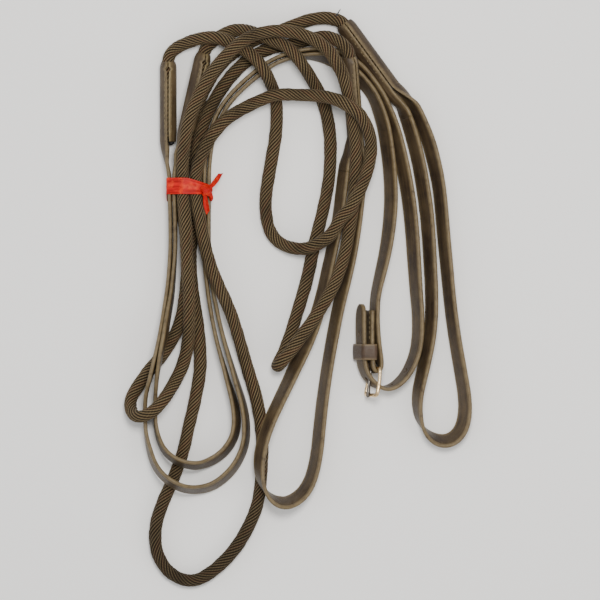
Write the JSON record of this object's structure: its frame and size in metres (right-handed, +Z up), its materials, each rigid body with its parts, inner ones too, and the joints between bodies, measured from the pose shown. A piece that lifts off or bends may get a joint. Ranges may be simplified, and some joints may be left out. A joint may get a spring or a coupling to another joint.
{
  "type": "rope draw reins",
  "caption": "Bundled rope draw reins: laid ropes spliced into leather straps, girth loops and a buckled hand part, held by a ribbon tie.",
  "frame": {"origin": "centre of the bundle's footprint, on the surface it lies on", "axes": "+Y along the bundle, towards the rope bends and away from the big strap loops; +Z up from the surface"},
  "size_m": [0.2783, 0.4622, 0.0416],
  "materials": {
    "rope": "laid cord, dark olive brown",
    "leather": "waxed bridle leather, olive brown",
    "leather_dark": "waxed bridle leather, darker",
    "thread": "waxed linen thread",
    "waxed_thread": "dark whipping twine",
    "brass": "polished",
    "steel": "dull",
    "ribbon": "red satin"
  },
  "bodies": {
    "root": {"rope_near": "rope", "rope_far": "rope", "hand_strap_buckle_side": "leather", "hand_strap_billet_side": "leather", "girth_loop_near": "leather", "girth_loop_far": "leather", "splice_sleeve_a": "leather", "splice_sleeve_b": "leather", "splice_sleeve_c": "leather", "splice_sleeve_d": "leather", "splice_stitching_a": "thread", "splice_stitching_b": "thread", "splice_stitching_c": "thread", "splice_stitching_d": "thread", "rope_whipping_a": "waxed_thread", "rope_whipping_b": "waxed_thread", "rope_whipping_c": "waxed_thread", "rope_whipping_d": "waxed_thread", "fixed_keeper": "leather_dark", "turnback_stitching": "thread", "ribbon_band": "ribbon", "ribbon_knot": "ribbon", "ribbon_tail_upper": "ribbon", "ribbon_tail_lower": "ribbon", "loose_thread": "waxed_thread"},
    "buckle": {"buckle_frame": "brass"},
    "tongue": {"buckle_tongue": "steel"}
  },
  "joints": [
    {"name": "buckle_pivot", "type": "hinge", "parent": "root", "child": "buckle", "pos_m": [0.0612, -0.0552, 0.0114], "axis": [0.4067, 0, 0.9136], "range_deg": [-6, 6]},
    {"name": "tongue_pivot", "type": "hinge", "parent": "buckle", "child": "tongue", "pos_m": [0.0612, -0.0552, 0.0114], "axis": [0.4067, 0, 0.9136], "range_deg": [-8, 0]}
  ]
}
